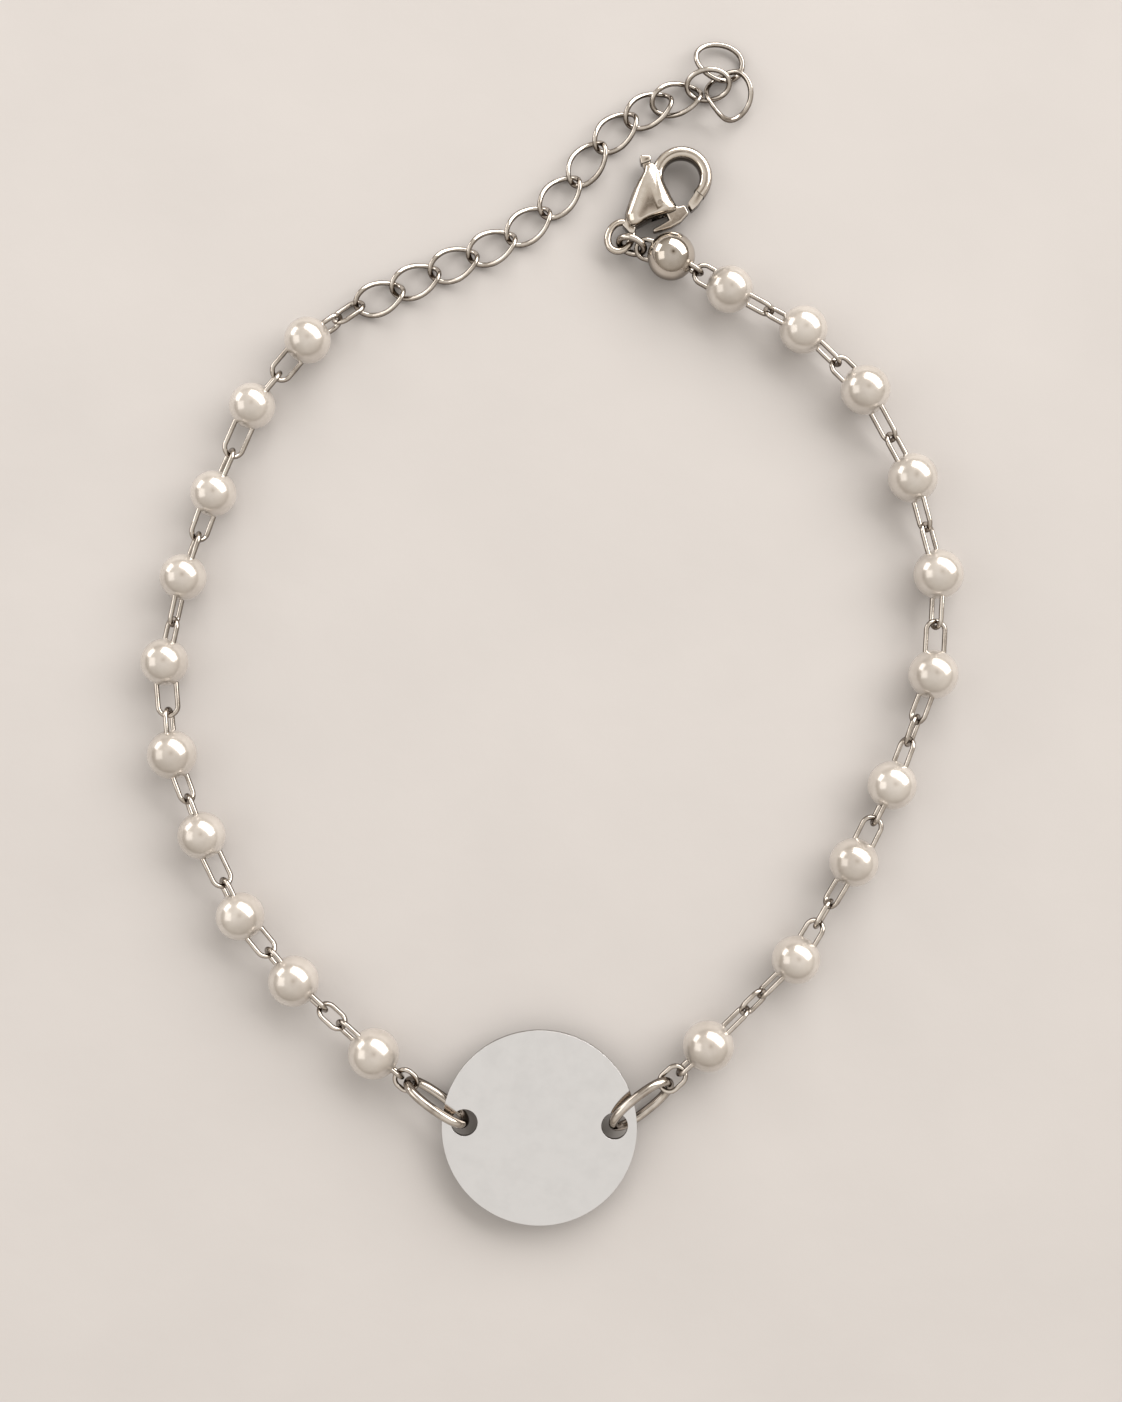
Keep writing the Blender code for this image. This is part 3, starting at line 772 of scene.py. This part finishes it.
@dataclass
class Clasp:
    """Lobster clasp lying on its side, with its lever and its ring.

    Places and corners are shares of the span, and an edge is a bevel's width and its segments.
    """

    finishes: Finishes
    pin: tuple = (8.75 * MM, 34.61 * MM)
    span: float = 10.0 * MM
    thickness: float = 2.2 * MM
    height: float = 1.15 * MM
    edge: float = 0.5 * MM
    levels: tuple = ((1.0, 0.10), (1.0, 0.36), (0.95, 0.56), (0.84, 0.76), (0.70, 0.90), (0.58, 0.97),
                     (0.46, 1.0))
    corner_steps: int = 4
    spine: tuple = ((-0.062, 0.300), (-0.105, -0.060))
    thinning: float = 0.3
    hook_centre: tuple = (0.178, 0.227)
    hook_radius: float = 0.199
    hook_start: float = 205.0
    hook_end: float = -38.0
    hook_tip: tuple = (0.321, 0.087)
    hook_wire: float = 1.02 * MM
    hook_depth: float = 1.5
    hook_squareness: int = 3
    hook_sides: int = 24
    hook_steps: int = 36
    tongue: float = 1.2 * MM
    lug: float = 1.1 * MM
    eye_centre: tuple = (-0.322, -0.252)
    eye_heading: float = 66.0
    eye_size: tuple = (3.0 * MM, 2.5 * MM)
    eye_wire: float = 0.6 * MM
    wire_sides: int = 14
    lever: float = 0.8 * MM
    gap: float = 0.12 * MM
    arm: float = 0.62 * MM
    arm_tip: tuple = (-0.122, 0.373)
    tab: float = 1.1 * MM
    pin_radius: float = 0.3 * MM
    hub_radius: float = 0.72 * MM
    recess: float = 0.22 * MM
    pin_sides: int = 40
    swing: float = 25.0
    swing_shares: tuple = (0.0, 0.5, 1.1)
    sweep_sides: int = 12
    joined_edge: tuple = (0.10 * MM, 2)
    gate_edge: tuple = (0.16 * MM, 3)
    arm_edge: tuple = (0.08 * MM, 2)
    tab_edge: tuple = (0.12 * MM, 3)
    bevel_angle: float = 50.0
    ring_tail: tuple = (5.47 * MM, 31.66 * MM, 1.20 * MM)
    ring_width: float = 2.4 * MM
    ring_wire: float = 0.56 * MM
    ring_roll: float = math.radians(64.0)
    stub_roll: float = -26.0

    def frame(self) -> Matrix:
        """Place of the clasp in the row frame, its origin on the pin."""
        return Matrix.Translation(Vector((*self.pin, self.height)))

    def at(self, share: tuple) -> Vector:
        """Turn shares of the span into a point of the clasp's middle plane."""
        return Vector((share[0] * self.span, share[1] * self.span, 0.0))

    def outline(self, table: Sequence[tuple]) -> list:
        """Round a table of corners to a smooth closed outline through them.

        Args:
            table: Corners as shares of the span.

        Returns:
            The outline's points.
        """
        points = [self.at(corner) for corner in table]
        count = len(points)
        smooth_points = []
        for index, point in enumerate(points):
            before = points[index - 1]
            after, beyond = points[(index + 1) % count], points[(index + 2) % count]
            for step in range(self.corner_steps):
                t = step / self.corner_steps
                smooth_points.append(0.5 * (2 * point + (after - before) * t
                                            + (2 * before - 5 * point + 4 * after - beyond) * t ** 2
                                            + (3 * point - before - 3 * after + beyond) * t ** 3))
        return smooth_points

    def plate(self, corners: Sequence[Vector], thickness: float) -> bpy.types.Object:
        """Model a flat plate from its corners.

        Args:
            corners: Corners in order.
            thickness: Thickness about the middle plane.

        Returns:
            The plate at the origin.
        """
        deselect()
        bpy.ops.mesh.primitive_circle_add(vertices=len(corners), radius=self.span / 4, fill_type="NGON")
        plate = bpy.context.object
        for vertex, corner in zip(plate.data.vertices, corners):
            vertex.co = (corner.x, corner.y, -thickness / 2)
        bpy.ops.object.mode_set(mode="EDIT")
        bpy.ops.mesh.select_all(action="SELECT")
        bpy.ops.mesh.extrude_region_move(TRANSFORM_OT_translate={"value": (0.0, 0.0, thickness)})
        face_outwards()
        return plate

    def pillow(self, corners: Sequence[Vector]) -> bpy.types.Object:
        """Model a body that draws in toward a line along its middle, above and below.

        Args:
            corners: Outline of the widest part.

        Returns:
            The body at the origin.
        """
        start, end = (self.at(place) for place in self.spine)
        feet = []
        for corner in corners:
            share = (corner - start).dot(end - start) / (end - start).length_squared
            feet.append(start + (end - start) * min(max(share, 0.0), 1.0))
        deselect()
        bpy.ops.mesh.primitive_circle_add(vertices=len(corners), radius=self.span / 4, fill_type="NGON")
        body = bpy.context.object
        levels = [(share, -rise) for share, rise in reversed(self.levels)] + list(self.levels)
        for index, (share, rise) in enumerate(levels):
            if index:
                bpy.ops.object.mode_set(mode="EDIT")
                bpy.ops.mesh.extrude_region_move(TRANSFORM_OT_translate={"value": (0.0, 0.0, 0.01 * MM)})
                bpy.ops.object.mode_set(mode="OBJECT")
            picked = list(body.data.vertices)[-len(corners):]
            for vertex, corner, foot in zip(picked, corners, feet):
                place = foot + (corner - foot) * share
                vertex.co = (place.x, place.y, rise * self.thickness / 2)
        bpy.ops.object.mode_set(mode="EDIT")
        face_outwards()
        return body

    def bar(self, tip: Vector, half: float, steps: int = 16) -> list:
        """Corners of a bar with round ends from the pin to a tip."""
        turn = math.atan2(tip.y, tip.x)
        corners = []
        for centre, back in ((tip, 0.0), (Vector(), math.pi)):
            for step in range(steps):
                angle = turn - math.pi / 2 + back + math.pi * step / (steps - 1)
                corners.append(centre + half * Vector((math.cos(angle), math.sin(angle), 0.0)))
        return corners

    def swept(self, corners: Sequence[Vector]) -> list:
        """Convex outline, a gap wider, round an outline in all its places of the swing."""
        points = []
        for share in self.swing_shares:
            turn = Matrix.Rotation(math.radians(self.swing * share), 3, "Z")
            for corner in corners:
                for side in range(self.sweep_sides):
                    angle = math.radians(360 / self.sweep_sides * side)
                    ring = self.gap * Vector((math.cos(angle), math.sin(angle), 0.0))
                    points.append(turn @ corner + ring)
        return [points[i] for i in convex_hull_2d([point.to_2d() for point in points])]

    def round_edges(self, obj: bpy.types.Object, width: float, segments: int) -> bpy.types.Object:
        """Bevel the sharp edges to a width, in so many segments."""
        bevel = obj.modifiers.new("edge", "BEVEL")
        bevel.width = width
        bevel.segments = segments
        bevel.limit_method = "ANGLE"
        bevel.angle_limit = math.radians(self.bevel_angle)
        apply_modifiers(obj)
        return obj

    def hook(self) -> bpy.types.Object:
        """Model the hook's bent bar along a curve, with a flat-sided section."""
        half, power = self.hook_wire / 2, self.hook_squareness
        section = []
        for step in range(self.hook_sides):
            angle = 2 * math.pi * (step + 0.5) / self.hook_sides
            across, up = math.cos(angle), math.sin(angle)
            bulge = (abs(across) ** power + abs(up) ** power) ** (-1 / power)
            section.append((half * across * bulge, half * self.hook_depth * up * bulge, 0.0))
        points = []
        for step in range(self.hook_steps + 1):
            turned = (self.hook_end - self.hook_start) * step / self.hook_steps
            angle = math.radians(self.hook_start + turned)
            share = (self.hook_centre[0] + self.hook_radius * math.cos(angle),
                     self.hook_centre[1] + self.hook_radius * math.sin(angle))
            points.append(self.at(share))
        points.append(self.at(self.hook_tip))
        profile = poly_curve(section, True)
        bend = poly_curve(points, False)
        bend.data.bevel_mode = "OBJECT"
        bend.data.bevel_object = profile
        bend.data.use_fill_caps = True
        bpy.ops.object.convert(target="MESH")
        hook = bpy.context.object
        bpy.data.objects.remove(profile)
        bpy.ops.object.mode_set(mode="EDIT")
        bpy.ops.mesh.select_all(action="SELECT")
        bpy.ops.mesh.remove_doubles(threshold=0.001 * MM)
        face_outwards()
        return hook

    def make_body(self) -> None:
        """Model the body with its hook, tail eye, slots and pin."""
        body = self.pillow(self.outline(BODY_CORNERS))
        neck = max(vertex.co.y for vertex in body.data.vertices)
        for vertex in body.data.vertices:
            vertex.co.z *= 1 - self.thinning * max(vertex.co.y, 0.0) / neck
        boolean(body, self.hook(), "UNION")
        for table, thickness in ((TONGUE_CORNERS, self.tongue), (LUG_CORNERS, self.lug)):
            plate = self.plate([self.at(corner) for corner in table], thickness)
            boolean(body, self.round_edges(plate, *self.joined_edge), "UNION")
        slot = self.lever + 2 * self.gap
        bar = self.bar(self.at(self.arm_tip), self.arm / 2)
        gate = [self.at(corner) for corner in GATE_CORNERS]
        for corners, depth in ((bar, slot), (gate, slot * SECOND_DEPTH)):
            boolean(body, self.plate(self.swept(corners), depth), "DIFFERENCE")
        cylinders = ((self.hub_radius + self.gap, slot * THIRD_DEPTH, 0.0, "DIFFERENCE"),
                     (self.pin_radius, self.thickness - self.edge, 0.0, "UNION"),
                     (self.recess, self.recess, self.thickness / 2, "DIFFERENCE"))
        for radius, depth, rise, operation in cylinders:
            boolean(body, cylinder(radius, depth, self.pin_sides, (0.0, 0.0, rise)), operation)
        smooth(body, CAST_ANGLE)
        dress(body, self.finishes.clasp)
        settle(body, self.frame())
        place = self.frame() @ Matrix.Translation(self.at(self.eye_centre))
        turned = place @ Matrix.Rotation(math.radians(self.eye_heading), 4, "Z")
        loop = WireLoop(*self.eye_size, self.eye_wire, Form.OVAL, steps=OVAL_STEPS, sides=self.wire_sides)
        eye = loop.make("clasp_eye", turned, self.finishes.clasp)
        hand_in(join("clasp_body_piece", [body, eye]), BODY, "clasp_body")

    def make_lever(self) -> None:
        """Model the lever with its thumb tab, its hub and its gate."""
        lever = self.plate([self.at(corner) for corner in GATE_CORNERS], self.lever)
        self.round_edges(lever, *self.gate_edge)
        arm = self.plate(self.bar(self.at(self.arm_tip), self.arm / 2), self.lever * SECOND_DEPTH)
        boolean(lever, self.round_edges(arm, *self.arm_edge), "UNION")
        tab = self.plate([self.at(corner) for corner in TAB_CORNERS], self.tab)
        boolean(lever, self.round_edges(tab, *self.tab_edge), "UNION")
        for radius, depth, operation in ((self.hub_radius, self.lever * THIRD_DEPTH, "UNION"),
                                         (self.pin_radius + self.gap, self.thickness, "DIFFERENCE")):
            boolean(lever, cylinder(radius, depth, self.pin_sides), operation)
        smooth(lever, CAST_ANGLE)
        even(lever)
        dress(lever, self.finishes.clasp)
        lever.name = "clasp_lever_piece"
        hand_in(settle(lever, self.frame()), LEVER_BODY, "clasp_lever")

    def make_ring(self, chain: FineChain, bead: Bead) -> None:
        """Model the oval ring between the tail eye and the bead's stub."""
        tail = Vector(self.ring_tail)
        centre = bead.centre(chain.diameter)
        away = (tail - centre).normalized()
        head = centre + away * (bead.radius(chain.diameter) + self.ring_wire / 2 + chain.gap)
        length = (head - tail).length + self.ring_wire
        loop = WireLoop(length, self.ring_width, self.ring_wire, Form.OVAL, steps=OVAL_STEPS,
                        sides=self.wire_sides)
        place = aim((tail + head) / 2, head - tail, self.ring_roll)
        hand_in(loop.make("clasp_ring_piece", place, self.finishes.wire), BODY, "clasp_ring")
        chain.add_stub(bead, head, self.ring_wire + chain.wire + 2 * chain.gap, self.stub_roll)


@dataclass(frozen=True)
class Lamp:
    """A soft rectangular light aimed at the bracelet, in metres and watts."""

    name: str
    place: tuple
    size: tuple
    power: float
    color: tuple

    def add(self) -> None:
        """Add the light."""
        data = bpy.data.lights.new(self.name, "AREA")
        data.shape = "RECTANGLE"
        data.size, data.size_y = self.size
        data.energy = self.power
        data.color = self.color
        lamp = bpy.data.objects.new(self.name, data)
        bpy.context.scene.collection.objects.link(lamp)
        lamp.location = self.place
        lamp.rotation_euler = (-Vector(self.place)).to_track_quat("-Z", "Y").to_euler()


@dataclass(frozen=True)
class Stage:
    """Pale floor, soft lights and the camera straight above."""

    scale: float = 0.081 * MM
    camera_height: float = 148.0 * MM
    focus_height: float = 2.0 * MM
    image: tuple = (1122, 1402)
    centre: tuple = (0.73 * MM, -5.73 * MM)
    clip: tuple = (0.005, 5.0)
    floor_size: float = 1.8
    sky_lean: float = -0.05
    patch: tuple = (0.12, 0.17, 0.98)

    def floor(self) -> None:
        """Add the floor."""
        deselect()
        bpy.ops.mesh.primitive_plane_add(size=self.floor_size)
        plane = bpy.context.object
        plane.name = "floor"
        dress(plane, FloorFinish("pale_floor").build())

    def world(self) -> None:
        """Light the surroundings by height, with a darker patch round the camera."""
        world = bpy.data.worlds.new("studio")
        bpy.context.scene.world = world
        world.use_nodes = True
        tree = world.node_tree
        background = tree.nodes["Background"]
        coords = tree.nodes.new("ShaderNodeTexCoord")
        split = tree.nodes.new("ShaderNodeSeparateXYZ")
        tree.links.new(coords.outputs["Generated"], split.inputs["Vector"])
        lean = tree.nodes.new("ShaderNodeMath")
        lean.operation = "MULTIPLY_ADD"
        lean.inputs[1].default_value = self.sky_lean
        tree.links.new(split.outputs["Y"], lean.inputs[0])
        tree.links.new(split.outputs["Z"], lean.inputs[2])
        sky = color_ramp(tree, lean.outputs["Value"], SKY_STOPS)
        dot = tree.nodes.new("ShaderNodeVectorMath")
        dot.operation = "DOT_PRODUCT"
        dot.inputs[1].default_value = Vector(self.patch).normalized()
        tree.links.new(coords.outputs["Generated"], dot.inputs[0])
        shade = color_ramp(tree, dot.outputs["Value"], PATCH_STOPS)
        tree.links.new(multiply(tree, sky, shade), background.inputs["Color"])
        background.inputs["Strength"].default_value = 1.0

    def camera(self) -> None:
        """Add the camera straight above, looking down."""
        data = bpy.data.cameras.new("camera")
        data.sensor_fit = "VERTICAL"
        reach = self.camera_height - self.focus_height
        data.angle = 2 * math.atan(self.image[1] * self.scale / 2 / reach)
        data.clip_start, data.clip_end = self.clip
        camera = bpy.data.objects.new("camera", data)
        bpy.context.scene.collection.objects.link(camera)
        camera.location = (*self.centre, self.camera_height)
        bpy.context.scene.camera = camera

    def make(self) -> None:
        """Build the whole stage and show its colours with the plain view."""
        bpy.context.scene.view_settings.view_transform = "Standard"
        self.floor()
        for lamp in LAMPS:
            lamp.add()
        self.world()
        self.camera()


LAMPS = [
    Lamp("key", (0.47, 0.60, 0.52), (1.50, 0.62), 11.4, (1.0, 0.96, 0.92)),
    Lamp("side", (-0.40, 0.27, 0.13), (0.26, 0.20), 0.45, (1.0, 0.97, 0.94)),
    Lamp("above", (-0.34, 0.0, 0.27), (0.26, 0.24), 0.20, (1.0, 0.97, 0.94)),
]
SKY_STOPS = [
    (0.00, (0.20, 0.165, 0.13)),
    (0.10, (0.32, 0.275, 0.23)),
    (0.35, (0.56, 0.505, 0.445)),
    (0.75, (0.67, 0.625, 0.57)),
    (1.00, (0.78, 0.74, 0.70)),
]
PATCH_STOPS = [
    (0.940, WHITE),
    (0.978, (0.82, 0.80, 0.77)),
    (0.993, (0.60, 0.56, 0.52)),
    (0.999, (0.16, 0.13, 0.10)),
]
RIGHT_ROUTE = [
    Bead("steel_bead", 9.66, 30.31, 0.97),
    Bead("pearl_right_01", 14.39, 27.64, 0.96),
    Bead("pearl_right_02", 20.37, 24.36, 0.98),
    Bead("pearl_right_03", 25.39, 19.46, 1.01),
    Bead("pearl_right_04", 29.23, 12.35, 1.01),
    Bead("pearl_right_05", 31.30, 4.54, 1.02),
    Bead("pearl_right_06", 30.89, -3.58, 1.01),
    Bead("pearl_right_07", 27.55, -12.55, 1.00),
    Bead("pearl_right_08", 24.46, -18.79, 1.00),
    Bead("pearl_right_09", 19.77, -26.68, 0.99),
    Bead("pearl_right_10", 12.66, -33.67, 1.05),
]
LEFT_ROUTE = [
    Bead("pearl_left_01", -14.44, -34.28, 1.05),
    Bead("pearl_left_02", -20.92, -28.41, 1.04),
    Bead("pearl_left_03", -25.26, -23.17, 0.99),
    Bead("pearl_left_04", -28.39, -16.63, 0.98),
    Bead("pearl_left_05", -30.78, -10.08, 1.01),
    Bead("pearl_left_06", -31.40, -2.57, 0.97),
    Bead("pearl_left_07", -29.90, 4.32, 0.95),
    Bead("pearl_left_08", -27.44, 11.10, 0.94),
    Bead("pearl_left_09", -24.30, 18.20, 0.94),
    Bead("pearl_left_10", -19.81, 23.52, 0.95),
]
RIGHT_GAPS = [
    Gap(0.43, 88, None, -4),
    Gap(0.56, 72, None, -50),
    Gap(0.57, 80, None, -14),
    Gap(0.56, 63, None, -45),
    Gap(0.52, 70, None, -50),
    Gap(0.50, 72, None, -8),
    Gap(0.51, 58, -64, 60),
    Gap(0.44, 88, None, 2),
    Gap(0.56, 62, -72, 40),
    Gap(0.49, 78, -50, 75),
]
LEFT_GAPS = [
    Gap(0.54, -58, 48, -70),
    Gap(0.40, -62, None, 36),
    Gap(0.36, -60, None, 32),
    Gap(0.43, -66, None, 58),
    Gap(0.42, 82, None, 10),
    Gap(0.45, -50, None, 80),
    Gap(0.47, -68, None, 48),
    Gap(0.44, -64, None, 32),
    Gap(0.44, -72, None, 25),
]
EXTENDER_ROUTE = [
    (-14.08, 27.17, 20),
    (-11.15, 28.57, 22),
    (-8.03, 29.93, 22),
    (-4.92, 31.34, 24),
    (-1.94, 33.13, 36),
    (0.63, 35.48, 45),
    (2.84, 38.19, 53),
    (5.17, 40.77, 41),
    (7.87, 42.58, 28),
    (10.16, 43.47, 13),
]
LAST_LINKS = [
    LastLink("extender_link_11", (0.74, 0.29, 0.32), 1.12, 0.85, (4, 10, 37, 1)),
    LastLink("end_link_a", (1.01, 0.87, 0.20), 1.27, 0.98, (-11, -12.5, -8, -13)),
    LastLink("end_link_b", (1.22, 0.06, 0.29), 1.30, 1.18, (80, -8, 3, 37.5)),
]
BODY_CORNERS = [
    (-0.055, 0.338),
    (-0.125, 0.318),
    (-0.140, 0.262),
    (-0.200, 0.150),
    (-0.250, 0.020),
    (-0.282, -0.110),
    (-0.215, -0.192),
    (-0.080, -0.128),
    (0.105, -0.062),
    (0.142, -0.025),
    (0.100, 0.060),
    (0.030, 0.200),
    (0.012, 0.262),
]
TONGUE_CORNERS = [
    (0.300, 0.125),
    (0.276, 0.079),
    (0.227, 0.013),
    (0.262, -0.053),
    (0.310, -0.010),
    (0.350, 0.047),
    (0.370, 0.100),
]
LUG_CORNERS = [
    (-0.245, -0.080),
    (-0.190, -0.160),
    (-0.206, -0.232),
    (-0.238, -0.240),
    (-0.305, -0.165),
]
GATE_CORNERS = [
    (0.205, 0.002),
    (0.150, -0.014),
    (0.050, 0.056),
    (-0.030, 0.040),
    (-0.030, -0.040),
    (0.050, -0.066),
    (0.078, -0.122),
    (0.005, -0.164),
    (-0.056, -0.196),
    (-0.050, -0.227),
    (0.010, -0.214),
    (0.095, -0.186),
    (0.175, -0.138),
    (0.241, -0.066),
]
TAB_CORNERS = [
    (-0.164, 0.384),
    (-0.150, 0.402),
    (-0.082, 0.400),
    (-0.068, 0.384),
    (-0.074, 0.352),
    (-0.151, 0.326),
]
RIGHT_RING_HEADING = 38.5
RIGHT_RING_TILT = 54.0
LEFT_RING_HEADING = 144.6
LEFT_RING_TILT = 79.0
TAG_STUB_ROLL = 84
RIGHT_TAG_LINK_ROLL = 12
RIGHT_TAG_STUB_REACH = 1.42 * MM
LEFT_TAG_LINK_ROLL = 10
LEFT_TAG_STUB_REACH = 1.10 * MM
EXTENDER_LINK_ROLL = -44
EXTENDER_STUB_ROLL = 70
EXTENDER_STUB_REACH = 1.62 * MM


def hand_in(obj: bpy.types.Object, body: str, node: str) -> bpy.types.Object:
    """Tie a finished piece to its body and the CAD node that it stands for.

    Args:
        obj: The piece.
        body: Body that it moves with.
        node: CAD node that it replaces.

    Returns:
        The same piece.
    """
    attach(obj, body)
    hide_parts(node)
    LOG.info("%s: %d faces, stands for %s", obj.name, len(obj.data.polygons), node)
    return obj


def main() -> None:
    """Build the bracelet and its stage."""
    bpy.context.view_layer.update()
    finishes = Finishes.build()
    chain = FineChain(finishes)
    tag = Tag(finishes)
    extender = Extender(finishes, EXTENDER_ROUTE, LAST_LINKS)
    clasp = Clasp(finishes)

    for number, gap in enumerate(RIGHT_GAPS):
        pair = RIGHT_ROUTE[number], RIGHT_ROUTE[number + 1]
        chain.between(*pair, gap, f"link_right_{number:02d}_{number + 1:02d}")
    for number, gap in enumerate(LEFT_GAPS):
        pair = LEFT_ROUTE[number], LEFT_ROUTE[number + 1]
        chain.between(*pair, gap, f"link_left_{number + 1:02d}_{number + 2:02d}")
    tag.make()
    left_hole, right_hole = tag.holes()
    right_far = tag.ring("jump_ring_right", right_hole, RIGHT_RING_HEADING, RIGHT_RING_TILT)
    left_far = tag.ring("jump_ring_left", left_hole, LEFT_RING_HEADING, LEFT_RING_TILT)
    chain.link_to("link_right_tag", RIGHT_ROUTE[-1], right_far, tag.ring_wire,
                  (RIGHT_TAG_LINK_ROLL, TAG_STUB_ROLL), RIGHT_TAG_STUB_REACH)
    chain.link_to("link_left_tag", LEFT_ROUTE[0], left_far, tag.ring_wire,
                  (LEFT_TAG_LINK_ROLL, TAG_STUB_ROLL), LEFT_TAG_STUB_REACH)
    tip = extender.make()
    chain.link_to("link_extender", LEFT_ROUTE[-1], tip, extender.wire,
                  (EXTENDER_LINK_ROLL, EXTENDER_STUB_ROLL), EXTENDER_STUB_REACH)
    clasp.make_body()
    clasp.make_lever()
    clasp.make_ring(chain, RIGHT_ROUTE[0])
    for bead in RIGHT_ROUTE + LEFT_ROUTE:
        chain.make_bead(bead)
    Stage().make()


if __name__ == "__main__":
    main()
